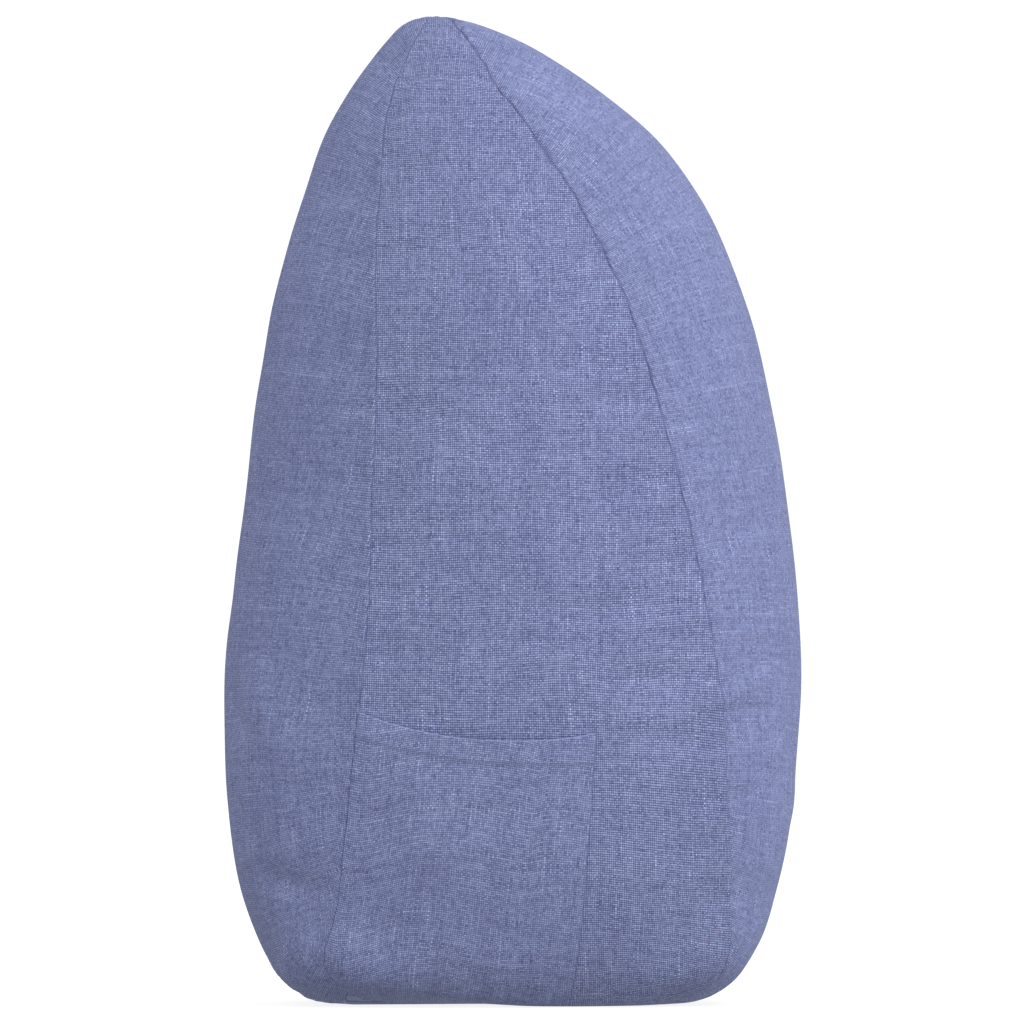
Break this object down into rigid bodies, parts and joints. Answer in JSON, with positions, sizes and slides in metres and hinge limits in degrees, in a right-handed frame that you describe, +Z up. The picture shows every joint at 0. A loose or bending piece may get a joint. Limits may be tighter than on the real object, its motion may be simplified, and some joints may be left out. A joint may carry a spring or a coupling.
{
  "type": "high-back bean bag cushion",
  "caption": "Tall teardrop floor and back cushion with a flat base, a leaning crest, ridged upright seams and a slack patch pocket low on one side.",
  "frame": {"origin": "on the floor, at the middle of the flat base", "axes": "+Z up, +X towards the deep front bulge, -Y towards the side with the pocket"},
  "size_m": [0.5802, 0.6139, 1],
  "materials": {
    "cover_cloth": "matt plain weave with slubs",
    "pocket_cloth": "matt plain weave with slubs"
  },
  "bodies": {
    "root": {"filled_body": "cover_cloth", "side_pocket": "pocket_cloth"}
  },
  "joints": []
}
